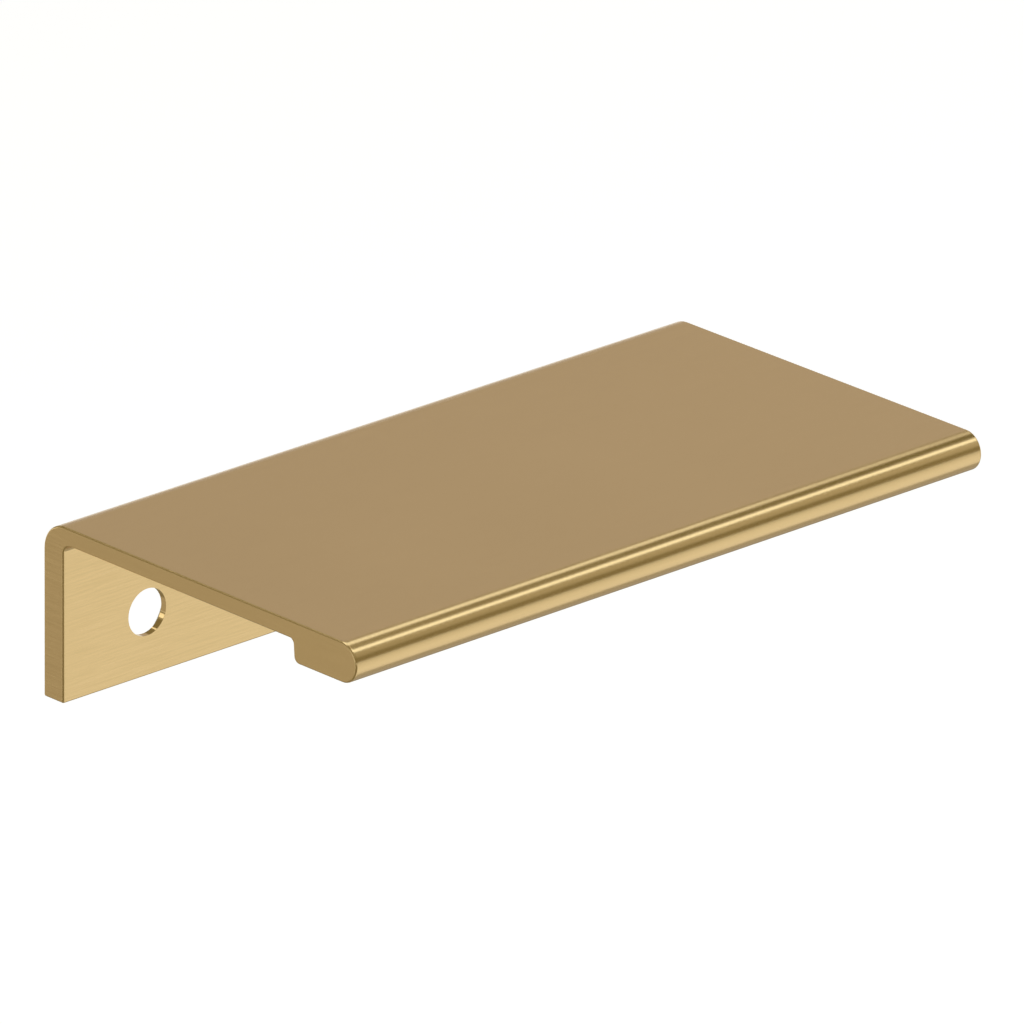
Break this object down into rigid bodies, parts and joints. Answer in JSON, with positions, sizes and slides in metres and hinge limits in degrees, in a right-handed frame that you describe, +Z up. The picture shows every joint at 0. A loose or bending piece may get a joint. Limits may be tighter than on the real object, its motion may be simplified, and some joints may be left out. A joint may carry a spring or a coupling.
{
  "type": "tab pull",
  "caption": "Edge-mounted tab pull: a flat plate with a countersunk screw flange behind and a thicker lip with a full-round nose in front, in satin brass.",
  "frame": {"origin": "midway between the two screw holes, on the seat, which is the flange's front face", "axes": "+X along the pull's length, -Y out of the seat towards the lip, +Z up from the flange's foot towards the top plate"},
  "size_m": [0.0762, 0.0407, 0.0169],
  "materials": {
    "satin_brass": "satin brass with a fine brushed grain along the length"
  },
  "bodies": {
    "root": {"tab_pull": "satin_brass"}
  },
  "joints": []
}
